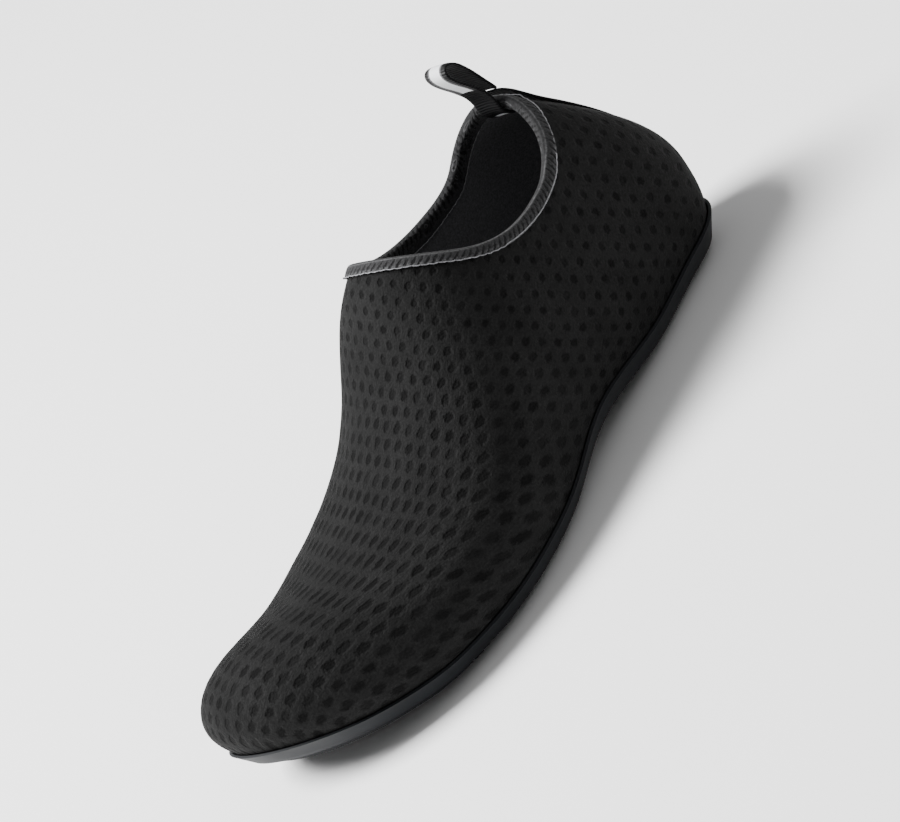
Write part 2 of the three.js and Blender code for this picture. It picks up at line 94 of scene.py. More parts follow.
def welded_copy(node, name):
    mesh = bmesh.new()
    mesh.from_mesh(nodes[node].data)
    bmesh.ops.remove_doubles(mesh, verts=mesh.verts, dist=0.01 * MM)
    made = bpy.data.meshes.new(name)
    mesh.to_mesh(made)
    mesh.free()
    piece = bpy.data.objects.new(name, made)
    scene.collection.objects.link(piece)
    return piece


def made_of_quads(piece):
    mesh = bmesh.new()
    mesh.from_mesh(piece.data)
    bmesh.ops.join_triangles(mesh, faces=mesh.faces, angle_face_threshold=1.2, angle_shape_threshold=1.6)
    mesh.to_mesh(piece.data)
    mesh.free()
    piece.data.shade_smooth()


def smoothed(piece, levels):
    modifier = piece.modifiers.new("smooth", "SUBSURF")
    modifier.levels = modifier.render_levels = levels


def row_of(point):
    """Position in mm of the leaning row of dots that runs through a point; it wraps round the heel."""
    along = point.x
    if along < SPINE[0].x:
        along = SPINE[0].x - HEEL_REACH * math.atan2(SPINE[0].x - point.x, abs(point.y))
    return along - ROW_LEAN * (point.z - LEAN_LEVEL) - ROW_SWEEP * point.y


upper = welded_copy("upper", "knit_upper")
points = [v.co / MM for v in upper.data.vertices]
spacing = np.array(DOT_SPACING)
fine = np.arange(-160, 320, 1.0)
dots_along = np.concatenate([[0], np.cumsum(1 / np.interp(fine[:-1] + 0.5, spacing[:, 0], spacing[:, 1]))])
# The second coordinate is solved on the outer faces: it climbs across the rows at one dot per pitch.
# The sheet is cut down the back seam, and the turned-in edge under the foot hardly counts.
keys, outer = {}, []
for face in upper.data.polygons:
    middle = face.center / MM
    share = min(max((middle.x - SPINE[0].x) / (SPINE[1].x - SPINE[0].x), 0), 1)
    faces_in = face.normal.dot(middle - SPINE[0].lerp(SPINE[1], share)) < 0
    face.material_index = 1 if faces_in else 0
    if faces_in:
        continue
    ids = []
    for v in face.vertices:
        at_seam = points[v].x < 0 and abs(points[v].y) < 0.05 and middle.y < 0
        ids.append(keys.setdefault((v, at_seam), len(keys)))
    outer.append((face, ids))
system, wanted = np.zeros((len(keys), len(keys))), np.zeros(len(keys))
for face, ids in outer:
    corners = [np.array(points[v]) for v in face.vertices]
    rows = [row_of(points[v]) for v in face.vertices]
    normal = np.array(face.normal)
    double_area = np.linalg.norm(np.cross(corners[1] - corners[0], corners[2] - corners[0]))
    weight = double_area * min(max((normal[2] + 0.3) / 0.6, 0.01), 1)
    slopes = [np.cross(normal, corners[(k + 2) % 3] - corners[(k + 1) % 3]) / double_area for k in range(3)]
    across = sum(row * slope for row, slope in zip(rows, slopes))
    along_row = np.cross(normal, across) / max(np.linalg.norm(across), 0.3)
    along_row /= np.interp(sum(rows) / 3, spacing[:, 0], spacing[:, 2])
    for k in range(3):
        wanted[ids[k]] += weight * slopes[k].dot(along_row)
        for m in range(3):
            system[ids[k], ids[m]] += weight * slopes[k].dot(slopes[m])
# One corner is held, because the slopes alone leave the whole chart free to slide.
system[0, 0] += 1
solved = np.linalg.solve(system, wanted)
chart = upper.data.uv_layers.new(name="dots")
for face, ids in outer:
    for k, v, key in zip(face.loop_indices, face.vertices, ids):
        chart.data[k].uv = (float(np.interp(row_of(points[v]), fine, dots_along)), float(solved[key]))
made_of_quads(upper)
smoothed(upper, 2)

# Jacquard knit of polyester and elastane: it gives the eye a dead matte black cloth with a broken
# grain, and darker sunk dots whose frayed edges run into it.
knit, tree, shader = new_material("jacquard_knit")
place = add_node(tree, "ShaderNodeUVMap", uv_map="dots")
axes = add_node(tree, "ShaderNodeSeparateXYZ", {0: place.outputs[0]})
grain_place = add_node(tree, "ShaderNodeTexCoord")
ragged = add_node(tree, "ShaderNodeTexNoise", {"Vector": grain_place.outputs["Object"],
                                               "Scale": 700, "Detail": 2})
wander = add_node(tree, "ShaderNodeTexNoise", {"Vector": grain_place.outputs["Object"],
                                               "Scale": 110, "Detail": 1})
wander_u = add_node(tree, "ShaderNodeMath", {0: wander.outputs[0], 1: 0.3, 2: axes.outputs[0]},
                    operation="MULTIPLY_ADD")
column = add_node(tree, "ShaderNodeMath", {0: wander_u.outputs[0]}, operation="FLOOR")
odd = add_node(tree, "ShaderNodeMath", {0: column.outputs[0], 1: 2}, operation="FLOORED_MODULO")
first_row, last_row, heel_row = (float(np.interp(x, fine, dots_along))
                                 for x in (STAGGERED_TO, IN_LINE_FROM, HEEL_END))
stagger = add_node(tree, "ShaderNodeMapRange", {0: axes.outputs[0], 1: first_row, 2: last_row, 3: 0.5,
                                                4: 0.04})
shift = add_node(tree, "ShaderNodeMath", {0: odd.outputs[0], 1: stagger.outputs[0], 2: axes.outputs[1]},
                 operation="MULTIPLY_ADD")
cell_u = add_node(tree, "ShaderNodeMath", {0: wander_u.outputs[0]}, operation="FRACT")
cell_v = add_node(tree, "ShaderNodeMath", {0: shift.outputs[0]}, operation="FRACT")
side_u = add_node(tree, "ShaderNodeMath", {0: cell_u.outputs[0], 1: 0.5}, operation="SUBTRACT")
side_v = add_node(tree, "ShaderNodeMath", {0: cell_v.outputs[0], 1: 0.5}, operation="SUBTRACT")
reach = add_node(tree, "ShaderNodeMapRange", {0: axes.outputs[0], 1: heel_row, 2: first_row, 3: DOT_REACH[0],
                                              4: DOT_REACH[1]})
wide = add_node(tree, "ShaderNodeMath", {0: side_u.outputs[0], 1: reach.outputs[0]}, operation="DIVIDE")
slim = add_node(tree, "ShaderNodeMath", {0: reach.outputs[0], 1: DOT_SLIM}, operation="MULTIPLY")
tall = add_node(tree, "ShaderNodeMath", {0: side_v.outputs[0], 1: slim.outputs[0]}, operation="DIVIDE")
square_u = add_node(tree, "ShaderNodeMath", {0: wide.outputs[0], 1: 2}, operation="POWER")
square_v = add_node(tree, "ShaderNodeMath", {0: tall.outputs[0], 1: 2}, operation="POWER")
both = add_node(tree, "ShaderNodeMath", {0: square_u.outputs[0], 1: square_v.outputs[0]}, operation="ADD")
radius = add_node(tree, "ShaderNodeMath", {0: both.outputs[0]}, operation="SQRT")
frayed = add_node(tree, "ShaderNodeMath", {0: ragged.outputs[0], 1: 0.9, 2: radius.outputs[0]},
                  operation="MULTIPLY_ADD")
mask = add_node(tree, "ShaderNodeMapRange", {0: frayed.outputs[0], 1: 1.65, 2: 0.95, 3: 0, 4: 1},
                interpolation_type="SMOOTHSTEP")
# Some dots are knitted tighter and read darker than their neighbours.
row = add_node(tree, "ShaderNodeMath", {0: shift.outputs[0]}, operation="FLOOR")
cell = add_node(tree, "ShaderNodeCombineXYZ", {0: column.outputs[0], 1: row.outputs[0]})
luck = add_node(tree, "ShaderNodeTexWhiteNoise", {"Vector": cell.outputs[0]})
depth = add_node(tree, "ShaderNodeMapRange", {0: luck.outputs[0], 3: 0.5, 4: 1.0})
dot = add_node(tree, "ShaderNodeMath", {0: mask.outputs[0], 1: depth.outputs[0]}, operation="MULTIPLY")
# Wales run across the rows. They are drawn about 1 mm apart, coarser than the real 0.6 mm.
pulled = add_node(tree, "ShaderNodeVectorMath", {0: place.outputs[0], 1: (3, 9, 1)}, operation="MULTIPLY")
wales = add_node(tree, "ShaderNodeTexNoise", {"Vector": pulled.outputs[0], "Scale": 1, "Detail": 3})
hatch = add_node(tree, "ShaderNodeTexWave", {"Vector": place.outputs[0], "Scale": 2.1, "Distortion": 1.0,
                                             "Detail": 2, "Detail Scale": 6}, bands_direction="DIAGONAL")
fuzz = add_node(tree, "ShaderNodeTexNoise", {"Vector": grain_place.outputs["Object"],
                                             "Scale": 1500, "Detail": 2})
patch = add_node(tree, "ShaderNodeTexNoise", {"Vector": grain_place.outputs["Object"],
                                              "Scale": 70, "Detail": 3})
in_dot = add_node(tree, "ShaderNodeMath", {0: hatch.outputs[1], 1: dot.outputs[0]}, operation="MULTIPLY")
rib = add_node(tree, "ShaderNodeMath", {0: in_dot.outputs[0], 1: 0.35, 2: wales.outputs[0]},
               operation="MULTIPLY_ADD")
grain = add_node(tree, "ShaderNodeMath", {0: fuzz.outputs[0], 1: 1.3, 2: rib.outputs[0]},
                 operation="MULTIPLY_ADD")
tone = add_node(tree, "ShaderNodeMapRange", {0: grain.outputs[0], 1: 0.75, 2: 1.6, 3: 0.5, 4: 1.5})
tone_patch = add_node(tree, "ShaderNodeMapRange", {0: patch.outputs[0], 1: 0.3, 2: 0.7, 3: 0.8, 4: 1.2})
shade = add_node(tree, "ShaderNodeMath", {0: tone.outputs[0], 1: tone_patch.outputs[0]}, operation="MULTIPLY")
yarn = add_node(tree, "ShaderNodeMix", {0: dot.outputs[0], 6: linear(KNIT), 7: linear(KNIT_DOT)},
                data_type="RGBA")
colour = add_node(tree, "ShaderNodeVectorMath", {0: yarn.outputs[2], 3: shade.outputs[0]}, operation="SCALE")
relief = add_node(tree, "ShaderNodeMath", {0: grain.outputs[0], 1: 0.35}, operation="MULTIPLY")
sunk = add_node(tree, "ShaderNodeMath", {0: relief.outputs[0], 1: mask.outputs[0]}, operation="SUBTRACT")
bump = add_node(tree, "ShaderNodeBump", {"Height": sunk.outputs[0], "Strength": 0.9, "Distance": 0.5 * MM})
for socket, value in {"Base Color": colour.outputs[0], "Normal": bump.outputs[0]}.items():
    tree.links.new(value, shader.inputs[socket])
shader.inputs["Roughness"].default_value = 0.88
shader.inputs["Sheen Weight"].default_value = 0.01
shader.inputs["Sheen Roughness"].default_value = 0.5
shader.inputs["Specular IOR Level"].default_value = 0.09

# Fine jersey: it gives the eye a plain dark grey without gloss, and a fuzz of loops 0.7 mm apart.
lining, tree, shader = new_material("lining_jersey")
place = add_node(tree, "ShaderNodeTexCoord")
loops = add_node(tree, "ShaderNodeTexNoise", {"Vector": place.outputs["Object"], "Scale": 1500, "Detail": 3})
tone = add_node(tree, "ShaderNodeMapRange", {0: loops.outputs[0], 1: 0.3, 2: 0.7, 3: 0.7, 4: 1.3})
colour = add_node(tree, "ShaderNodeVectorMath", {0: linear(LINING)[:3], 3: tone.outputs[0]},
                  operation="SCALE")
bump = add_node(tree, "ShaderNodeBump", {"Height": loops.outputs[0], "Strength": 0.5, "Distance": 0.15 * MM})
tree.links.new(colour.outputs[0], shader.inputs["Base Color"])
tree.links.new(bump.outputs[0], shader.inputs["Normal"])
shader.inputs["Roughness"].default_value = 0.95
shader.inputs["Specular IOR Level"].default_value = 0.2
upper.data.materials.append(knit)
upper.data.materials.append(lining)
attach(upper, "root")
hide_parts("upper")


# Insole. A thin foam sheet with a woven nylon face, die-cut to the foot's outline. It lies loose on the
# turned-in edge of the upper.
INSOLE_CLOTH, CLOTH_GAPS = "#1b1b1c", "#0d0d0e"
insole = welded_copy("insole", "foam_insole")
made_of_quads(insole)
bevel = insole.modifiers.new("edge", "BEVEL")
bevel.width = 0.5 * MM
bevel.segments = 2
bevel.limit_method = "ANGLE"
bevel.angle_limit = 0.5
# Plain-woven nylon: it gives the eye a matte black cloth with slanted threads. They are drawn
# 1 mm long and 0.5 mm wide, coarser than the real 0.3 mm.
cloth, tree, shader = new_material("insole_cloth")
place = add_node(tree, "ShaderNodeTexCoord")
turned = add_node(tree, "ShaderNodeMapping", {"Vector": place.outputs["Object"], "Rotation": (0, 0, 0.78)})
weave = add_node(tree, "ShaderNodeTexBrick", {"Vector": turned.outputs[0], "Color1": (1, 1, 1, 1),
                                              "Color2": (0.75, 0.75, 0.75, 1), "Mortar": (0.2, 0.2, 0.2, 1),
                                              "Scale": 500, "Mortar Size": 0.08})
colour = add_node(tree, "ShaderNodeMix", {0: weave.outputs[1], 6: linear(INSOLE_CLOTH),
                                          7: linear(CLOTH_GAPS)}, data_type="RGBA")
bump = add_node(tree, "ShaderNodeBump", {"Height": weave.outputs[1], "Strength": 0.6, "Distance": 0.2 * MM})
tree.links.new(colour.outputs[2], shader.inputs["Base Color"])
tree.links.new(bump.outputs[0], shader.inputs["Normal"])
shader.inputs["Roughness"].default_value = 0.92
insole.data.materials.append(cloth)
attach(insole, "root")
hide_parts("insole")


# Collar binding. A folded stretch tape, lighter than the knit, sewn over the raw edge. A smooth lip
# runs along the top, needle marks lie slanted below it, and a thin thread holds each lower edge.
# For each distance in mm from the fold, below zero on the inner side: the tape's tone.
# The light stop 0.5 mm over the fold, between two darker ones, is a painted highlight along the crown.
TAPE_TONES_WITH_FOLD_HIGHLIGHT = [(-5.4, "#303031"), (-1.2, "#202021"), (-0.2, "#1a1a1b"), (0.2, "#303031"), (0.5, "#484849"),
              (0.8, "#303031"), (1.2, "#242425"), (3.0, "#282829"), (3.6, "#3c3c3d")]
# The outer flap is drawn shorter than the solid's, as in the photograph; the inner one is as broad.
OUTER_FLAP = 0.72
TAPE_REACH = 6.4
# Needle marks: their pitch along the tape, the distance of their middle from the fold, half their height.
NEEDLE_PITCH, NEEDLE_AT, NEEDLE_HALF = 2.1, 2.9, 1.8
STITCH = "#050506"


def surface_of(piece):
    corners = [v.co for v in piece.data.vertices]
    return BVHTree.FromPolygons(corners, [tuple(face.vertices) for face in piece.data.polygons])


binding = welded_copy("collar_binding", "binding_tape")
ring = np.array([v.co for v in binding.data.vertices]) / MM
middle = np.array([29.0, 0.0])
wall, bound_edge = surface_of(upper), surface_of(binding)
# The fold is the highest point of the tape on each bearing from the middle of the collar.
crown = []
for bearing in np.linspace(-math.pi, math.pi, 121)[:-1]:
    hits = []
    for far in np.arange(8, 60, 0.4):
        start = Vector((middle[0] + far * math.cos(bearing), far * math.sin(bearing), 130)) * MM
        hits.append(bound_edge.ray_cast(start, Vector((0, 0, -1)))[0])
    crown.append(max((tuple(hit / MM) for hit in hits if hit is not None), key=lambda p: p[2]))
crown = np.array(crown)
for _ in range(2):
    crown = (np.roll(crown, 1, 0) + 2 * crown + np.roll(crown, -1, 0)) / 4
crown = np.concatenate([crown + (np.roll(crown, -1, 0) - crown) * k / 8 for k in range(8)]).reshape(8, -1, 3)
crown = crown.transpose(1, 0, 2).reshape(-1, 3)
run = np.concatenate([[0], np.cumsum(np.linalg.norm(np.diff(crown, axis=0), axis=1))])


def binding_place(point):
    """Length along the crown in mm, and distance from it, below zero on the inner side of the wall."""
    offsets = np.linalg.norm(crown - point, axis=1)
    k = int(offsets.argmin())
    outward = crown[k][:2] - middle
    outer = np.dot(point[:2] - crown[k][:2], outward / np.linalg.norm(outward))
    if offsets[k] > 2:
        outer = 0.5 - upper.data.polygons[wall.find_nearest(Vector(point) * MM)[2]].material_index
    return run[k], math.copysign(offsets[k], outer)


for k, point in enumerate(ring):
    nearest = crown[np.linalg.norm(crown - point, axis=1).argmin()]
    share = np.interp(binding_place(point)[1], [0.5, 3], [1, OUTER_FLAP])
    ring[k] = nearest + (point - nearest) * share
    binding.data.vertices[k].co = Vector(ring[k]) * MM
bound_edge = surface_of(binding)
tape_places = [binding_place(point) for point in ring]
made_of_quads(binding)
chart = binding.data.uv_layers.new(name="tape_mm")
for face in binding.data.polygons:
    corners = [tape_places[binding.data.loops[k].vertex_index] for k in face.loop_indices]
    wraps = max(c[0] for c in corners) - min(c[0] for c in corners) > run[-1] / 2
    for k, (a, b) in zip(face.loop_indices, corners):
        chart.data[k].uv = (a + run[-1] if wraps and a < run[-1] / 2 else a, b)
smoothed(binding, 2)

# Folded elastane tape: it gives the eye a matte charcoal band, lighter than the knit, with a painted
# highlight along its fold and dark slanted marks where the needle went in.
tape, tree, shader = new_material("stretch_binding")
place = add_node(tree, "ShaderNodeUVMap", uv_map="tape_mm")
axes = add_node(tree, "ShaderNodeSeparateXYZ", {0: place.outputs[0]})
grain_place = add_node(tree, "ShaderNodeTexCoord")
rough = add_node(tree, "ShaderNodeTexNoise", {"Vector": grain_place.outputs["Object"],
                                              "Scale": 1300, "Detail": 3})
down = add_node(tree, "ShaderNodeMath", {0: axes.outputs[1]}, operation="ABSOLUTE")
# Tones across the tape, inner lower edge to outer lower edge, with a painted highlight on the crown.
across = add_node(tree, "ShaderNodeMapRange", {0: axes.outputs[1], 1: -TAPE_REACH, 2: TAPE_REACH})
profile = add_node(tree, "ShaderNodeValToRGB", {0: across.outputs[0]})
ramp = profile.color_ramp
for at, tint in TAPE_TONES_WITH_FOLD_HIGHLIGHT:
    stop = ramp.elements.new((at + TAPE_REACH) / (2 * TAPE_REACH))
    stop.color = linear(tint)
ramp.elements.remove(ramp.elements[0])
ramp.elements.remove(ramp.elements[-1])
# Each needle mark is a slanted stroke with a frayed edge.
slant = add_node(tree, "ShaderNodeMath", {0: axes.outputs[1], 1: 0.5, 2: axes.outputs[0]},
                 operation="MULTIPLY_ADD")
pitch = add_node(tree, "ShaderNodeMath", {0: slant.outputs[0], 1: NEEDLE_PITCH}, operation="DIVIDE")
cell = add_node(tree, "ShaderNodeMath", {0: pitch.outputs[0]}, operation="FRACT")
off = add_node(tree, "ShaderNodeMath", {0: cell.outputs[0], 1: 0.5}, operation="SUBTRACT")
off_mm = add_node(tree, "ShaderNodeMath", {0: off.outputs[0], 1: NEEDLE_PITCH / 0.55}, operation="MULTIPLY")
below = add_node(tree, "ShaderNodeMath", {0: down.outputs[0], 1: NEEDLE_AT}, operation="SUBTRACT")
below_mm = add_node(tree, "ShaderNodeMath", {0: below.outputs[0], 1: NEEDLE_HALF}, operation="DIVIDE")
squared = add_node(tree, "ShaderNodeMath", {0: off_mm.outputs[0], 1: 2}, operation="POWER")
squared_down = add_node(tree, "ShaderNodeMath", {0: below_mm.outputs[0], 1: 2}, operation="POWER")
both = add_node(tree, "ShaderNodeMath", {0: squared.outputs[0], 1: squared_down.outputs[0]}, operation="ADD")
fray = add_node(tree, "ShaderNodeMath", {0: rough.outputs[0], 1: 3.2, 2: both.outputs[0]},
                operation="MULTIPLY_ADD")
mark = add_node(tree, "ShaderNodeMapRange", {0: fray.outputs[0], 1: 3.3, 2: 1.6, 3: 0, 4: 1},
                interpolation_type="SMOOTHSTEP")
marked = add_node(tree, "ShaderNodeMix", {0: mark.outputs[0], 6: profile.outputs[0], 7: linear(STITCH)},
                  data_type="RGBA")
tone = add_node(tree, "ShaderNodeMapRange", {0: rough.outputs[0], 1: 0.3, 2: 0.7, 3: 0.5, 4: 1.5})
colour = add_node(tree, "ShaderNodeVectorMath", {0: marked.outputs[2], 3: tone.outputs[0]}, operation="SCALE")
weave = add_node(tree, "ShaderNodeMath", {0: rough.outputs[0], 1: 0.8}, operation="MULTIPLY")
relief = add_node(tree, "ShaderNodeMath", {0: weave.outputs[0], 1: mark.outputs[0]}, operation="SUBTRACT")
bump = add_node(tree, "ShaderNodeBump", {"Height": relief.outputs[0], "Strength": 0.8, "Distance": 0.3 * MM})
tree.links.new(colour.outputs[0], shader.inputs["Base Color"])
tree.links.new(bump.outputs[0], shader.inputs["Normal"])
shader.inputs["Roughness"].default_value = 0.8
shader.inputs["Sheen Weight"].default_value = 0.05
shader.inputs["Specular IOR Level"].default_value = 0.2
binding.data.materials.append(tape)
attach(binding, "root")
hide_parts("collar_binding")


# Seam threads. A polyester thread runs along both lower edges of the binding in chained stitches of
# about 2.5 mm, each a small arched tube pulled down at its ends.
STITCH_LENGTH, STITCH_GAP, THREAD_RADIUS = 2.5, 0.15, 0.17
# Height of a stitch over the tape at its five points, and how far it stands off the edge and above it.
STITCH_ARCH = (-0.08, 0.06, 0.1, 0.06, -0.08)
STAND_OFF, STAND_UP = 0.25, 0.5
THREAD = "#77777a"
lengths = np.array(tape_places)


def stitched_line(inner):
    """Points in mm along the lower edge of the binding's inner or outer flap."""
    keep = lengths[:, 1] < 0 if inner else lengths[:, 1] > 0
    line = []
    for at in np.arange(0, run[-1], run[-1] / 60):
        near = keep & (np.abs((lengths[:, 0] - at + run[-1] / 2) % run[-1] - run[-1] / 2) < 4.5)
        chosen = ring[near][np.argsort(-np.abs(lengths[near][:, 1]))[:2]]
        line.append(chosen.mean(axis=0))
    line = np.array(line)
    for _ in range(2):
        line = (np.roll(line, 1, 0) + 2 * line + np.roll(line, -1, 0)) / 4
    return line


threads = bpy.data.curves.new("seam_threads", "CURVE")
threads.dimensions = "3D"
threads.bevel_depth = THREAD_RADIUS * MM
threads.bevel_resolution = 1
threads.use_fill_caps = True
for inner in (False, True):
    line = stitched_line(inner)
    closed = np.concatenate([line, line[:1]])
    path = np.concatenate([[0], np.cumsum(np.linalg.norm(np.diff(closed, axis=0), axis=1))])
    count = int(path[-1] // (STITCH_LENGTH + STITCH_GAP))
    for k in range(count):
        start = k * path[-1] / count
        places_on = start + np.linspace(0, STITCH_LENGTH, 5)
        points = np.array([[np.interp(s, path, closed[:, axis]) for axis in range(3)] for s in places_on])
        spline = threads.splines.new("POLY")
        spline.points.add(4)
        for point, place_on, lift in zip(spline.points, points, STITCH_ARCH):
            seat = bound_edge.find_nearest(Vector(place_on) * MM)
            outward = Vector((place_on[0] - middle[0], place_on[1], 0)).normalized() * (-1 if inner else 1)
            normal = seat[1] if seat[1].dot(outward) > 0 else outward
            spot = seat[0] + (normal * lift + outward * STAND_OFF + Vector((0, 0, STAND_UP))) * MM
            point.co = (*spot, 1)
sewn = bpy.data.objects.new("seam_threads_curve", threads)
scene.collection.objects.link(sewn)
bpy.context.view_layer.update()
sewn_mesh = bpy.data.meshes.new_from_object(sewn.evaluated_get(bpy.context.evaluated_depsgraph_get()))
bpy.data.objects.remove(sewn)
seam = bpy.data.objects.new("seam_threads", sewn_mesh)
scene.collection.objects.link(seam)
seam.data.shade_smooth()
# Spun polyester: it gives the eye a thin light grey line with a slight shine and flecks from its twist.
thread, tree, shader = new_material("polyester_thread")
place = add_node(tree, "ShaderNodeTexCoord")
twist = add_node(tree, "ShaderNodeTexNoise", {"Vector": place.outputs["Object"], "Scale": 3000})
tone = add_node(tree, "ShaderNodeMapRange", {0: twist.outputs[0], 1: 0.3, 2: 0.7, 3: 0.6, 4: 1.3})
colour = add_node(tree, "ShaderNodeVectorMath", {0: linear(THREAD)[:3], 3: tone.outputs[0]},
                  operation="SCALE")
tree.links.new(colour.outputs[0], shader.inputs["Base Color"])
shader.inputs["Roughness"].default_value = 0.6
seam.data.materials.clear()
seam.data.materials.append(thread)
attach(seam, "root")


# Heel tape and pull loop. One length of ribbed polyester webbing with a reflective stripe woven along
# its middle: sewn down the back seam, bent over the collar as a loop and sewn inside.
WEBBING, SELVEDGE, STRIPE = "#070708", "#5a5a5c", "#e2e3e5"
STRIPE_HALF = 2.3
# This wave scale gives ribs 0.95 mm apart, as on the real webbing.
RIB_SCALE = 330
# The inner arm of the loop is pressed towards the outer arm, most at 94 mm above the ground.
ARM_PULL = [(81, 0), (83, 0.8), (86, 2.5), (90, 3.2), (94.5, 3.3), (99, 2), (102, 0.8), (104.5, 0)]
# It is all that lies in front of a slanted plane: its place at this height, and its slope.
ARM_FRONT, ARM_LEVEL, ARM_SLOPE = -10.1, 87, 0.386
SEWN_BELOW = 93
# Ribbed polyester webbing: it gives the eye a dull black strap with fine ribs across it.
webbing, tree, shader = new_material("ribbed_webbing")
place = add_node(tree, "ShaderNodeTexCoord")
rib = add_node(tree, "ShaderNodeTexWave", {"Vector": place.outputs["Object"], "Scale": RIB_SCALE,
                                           "Distortion": 0.6, "Detail": 1}, bands_direction="Z")
tone = add_node(tree, "ShaderNodeMapRange", {0: rib.outputs[1], 1: 0, 2: 1, 3: 0.6, 4: 1.8})
colour = add_node(tree, "ShaderNodeVectorMath", {0: linear(WEBBING)[:3], 3: tone.outputs[0]},
                  operation="SCALE")
bump = add_node(tree, "ShaderNodeBump", {"Height": rib.outputs[1], "Strength": 0.8, "Distance": 0.25 * MM})
tree.links.new(colour.outputs[0], shader.inputs["Base Color"])
tree.links.new(bump.outputs[0], shader.inputs["Normal"])
shader.inputs["Roughness"].default_value = 0.85
shader.inputs["Specular IOR Level"].default_value = 0.12

# The same webbing with a glass-bead stripe: it gives the eye a smooth silver band with a fine glitter,
# a thin grey line along each side of it, and black ribbed edges.
striped, tree, shader = new_material("webbing_with_reflective_stripe")
place = add_node(tree, "ShaderNodeTexCoord")
axes = add_node(tree, "ShaderNodeSeparateXYZ", {0: place.outputs["Object"]})
aside = add_node(tree, "ShaderNodeMath", {0: axes.outputs[1]}, operation="ABSOLUTE")
stripe = add_node(tree, "ShaderNodeMapRange", {0: aside.outputs[0], 1: (STRIPE_HALF + 0.06) * MM,
                                               2: (STRIPE_HALF - 0.06) * MM, 3: 0, 4: 1})
edge = add_node(tree, "ShaderNodeMath", {0: aside.outputs[0], 1: (STRIPE_HALF + 0.35) * MM, 2: 0.28 * MM},
                operation="COMPARE")
rib = add_node(tree, "ShaderNodeTexWave", {"Vector": place.outputs["Object"], "Scale": RIB_SCALE,
                                           "Distortion": 0.6, "Detail": 1}, bands_direction="Z")
glitter = add_node(tree, "ShaderNodeTexVoronoi", {"Vector": place.outputs["Object"], "Scale": 4000})
tone = add_node(tree, "ShaderNodeMapRange", {0: rib.outputs[1], 1: 0, 2: 1, 3: 0.5, 4: 2.2})
black = add_node(tree, "ShaderNodeVectorMath", {0: linear(WEBBING)[:3], 3: tone.outputs[0]},
                 operation="SCALE")
bright = add_node(tree, "ShaderNodeMapRange", {0: glitter.outputs[0], 1: 0, 2: 0.7, 3: 0.8, 4: 1.08})
silver = add_node(tree, "ShaderNodeVectorMath", {0: linear(STRIPE)[:3], 3: bright.outputs[0]},
                  operation="SCALE")
rimmed = add_node(tree, "ShaderNodeMix", {0: edge.outputs[0], 6: black.outputs[0], 7: linear(SELVEDGE)},
                  data_type="RGBA")
colour = add_node(tree, "ShaderNodeMix", {0: stripe.outputs[0], 6: rimmed.outputs[2], 7: silver.outputs[0]},
                  data_type="RGBA")
smooth_stripe = add_node(tree, "ShaderNodeMath", {0: 1.0, 1: stripe.outputs[0]}, operation="SUBTRACT")
ribs = add_node(tree, "ShaderNodeMath", {0: rib.outputs[1], 1: smooth_stripe.outputs[0]},
                operation="MULTIPLY")
bump = add_node(tree, "ShaderNodeBump", {"Height": ribs.outputs[0], "Strength": 0.8, "Distance": 0.25 * MM})
tree.links.new(colour.outputs[2], shader.inputs["Base Color"])
tree.links.new(bump.outputs[0], shader.inputs["Normal"])
shader.inputs["Roughness"].default_value = 0.6
shader.inputs["Specular IOR Level"].default_value = 0.25

for node, name in (("heel_tape", "heel_webbing"), ("pull_loop", "loop_webbing")):
    strap = welded_copy(node, name)
    made_of_quads(strap)
    centre = sum((v.co for v in strap.data.vertices), Vector()) / len(strap.data.vertices)
    if node == "heel_tape":
        centre = Vector((60 * MM, 0, 50 * MM))
    else:
        for v in strap.data.vertices:
            if v.co.x / MM > ARM_FRONT + (v.co.z / MM - ARM_LEVEL) * ARM_SLOPE:
                v.co.x -= np.interp(v.co.z / MM, *zip(*ARM_PULL)) * MM
    for face in strap.data.polygons:
        away = face.center - centre
        in_front = face.center.x > centre.x - 4 * MM
        sewn_down = node == "pull_loop" and in_front and face.center.z < SEWN_BELOW * MM
        outside = face.normal.dot(Vector((away.x, 0, away.z))) > 0
        face.material_index = 0 if outside and not sewn_down else 1
    smoothed(strap, 2)
    strap.data.materials.append(striped)
    strap.data.materials.append(webbing)
    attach(strap, "root")
    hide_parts(node)


# Outsole. Thin blue-black rubber, moulded in one shot: a cupped plate with rows of low lugs and round
# pads. The mould leaves ring grooves and star strokes in the pads, and finger-like loops under the toe.
RUBBER = "#121417"
LENGTH, HALF_BALL, BACK = 250, 46.5, 45
# For each round pad: its place as shares of the length and of half the ball's width, half its length and
# half its breadth in mm, and its figure.
PADS = [(0.18, 0, 13, 11, "plain"), (0.302, -0.32, 7, 6.5, "rings"), (0.322, 0.28, 6, 5.6, "star"),
        (0.376, -0.17, 5.6, 5.2, "rings"), (0.42, 0.15, 6, 5.6, "star"), (0.528, 0, 7.6, 7, "star"),
        (0.641, -0.1, 8.7, 8, "star"), (0.75, -0.38, 14, 12, "star"), (0.73, 0.42, 8.5, 8, "rings")]
# Radii of the ring grooves, and of the points and the notches of a star, as shares of the pad's.
RINGS = {"plain": (0.86,), "star": (0.84,), "rings": (0.82, 0.6, 0.36)}
STAR_POINT, STAR_NOTCH = 0.66, 0.24
GROOVE_RADIUS = 0.55
# Seven finger-like loops under the toe: their pitch across it, and half the width of one.
FINGERS, FINGER_PITCH, FINGER_HALF = 7, 8.0, 2.3
